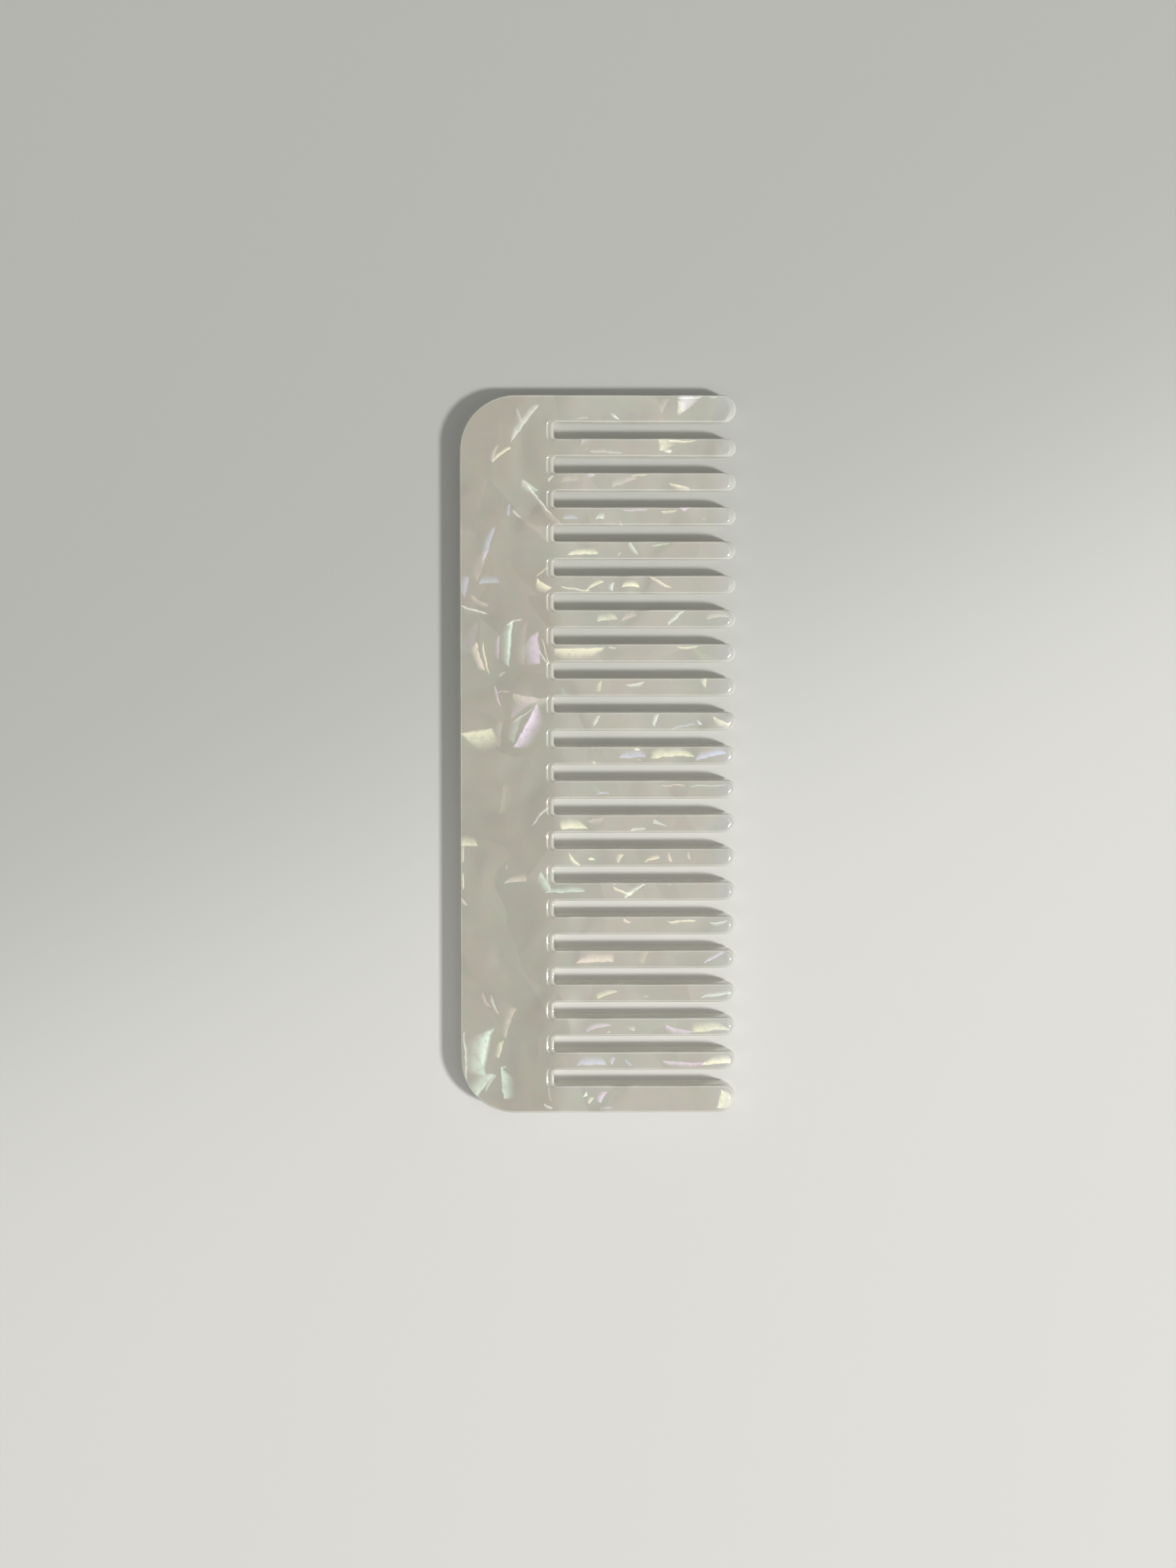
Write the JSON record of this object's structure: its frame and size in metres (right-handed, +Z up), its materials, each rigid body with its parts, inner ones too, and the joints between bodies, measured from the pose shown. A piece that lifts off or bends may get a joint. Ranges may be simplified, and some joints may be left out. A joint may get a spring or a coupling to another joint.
{
  "type": "wide-tooth comb",
  "caption": "Flat wide-tooth comb in pearl acetate: a solid round-cornered back, even round-tipped teeth with narrow slots between them and a stouter tooth at each end.",
  "frame": {"origin": "under the middle of the comb, on the flat face that it lies on", "axes": "+Y along the comb's length, +X from the back's outer edge towards the tips of the teeth, +Z up through the sheet"},
  "size_m": [0.05, 0.13, 0.004],
  "materials": {
    "pearl_acetate": "polished translucent pearl acetate, warm grey with crumpled flakes that flash white, cream, mint, blue and lilac"
  },
  "bodies": {
    "root": {"back": "pearl_acetate", "end_tooth_1": "pearl_acetate", "inner_tooth_01": "pearl_acetate", "inner_tooth_02": "pearl_acetate", "inner_tooth_03": "pearl_acetate", "inner_tooth_04": "pearl_acetate", "inner_tooth_05": "pearl_acetate", "inner_tooth_06": "pearl_acetate", "inner_tooth_07": "pearl_acetate", "inner_tooth_08": "pearl_acetate", "inner_tooth_09": "pearl_acetate", "inner_tooth_10": "pearl_acetate", "inner_tooth_11": "pearl_acetate", "inner_tooth_12": "pearl_acetate", "inner_tooth_13": "pearl_acetate", "inner_tooth_14": "pearl_acetate", "inner_tooth_15": "pearl_acetate", "inner_tooth_16": "pearl_acetate", "inner_tooth_17": "pearl_acetate", "inner_tooth_18": "pearl_acetate", "inner_tooth_19": "pearl_acetate", "end_tooth_2": "pearl_acetate"}
  },
  "joints": []
}
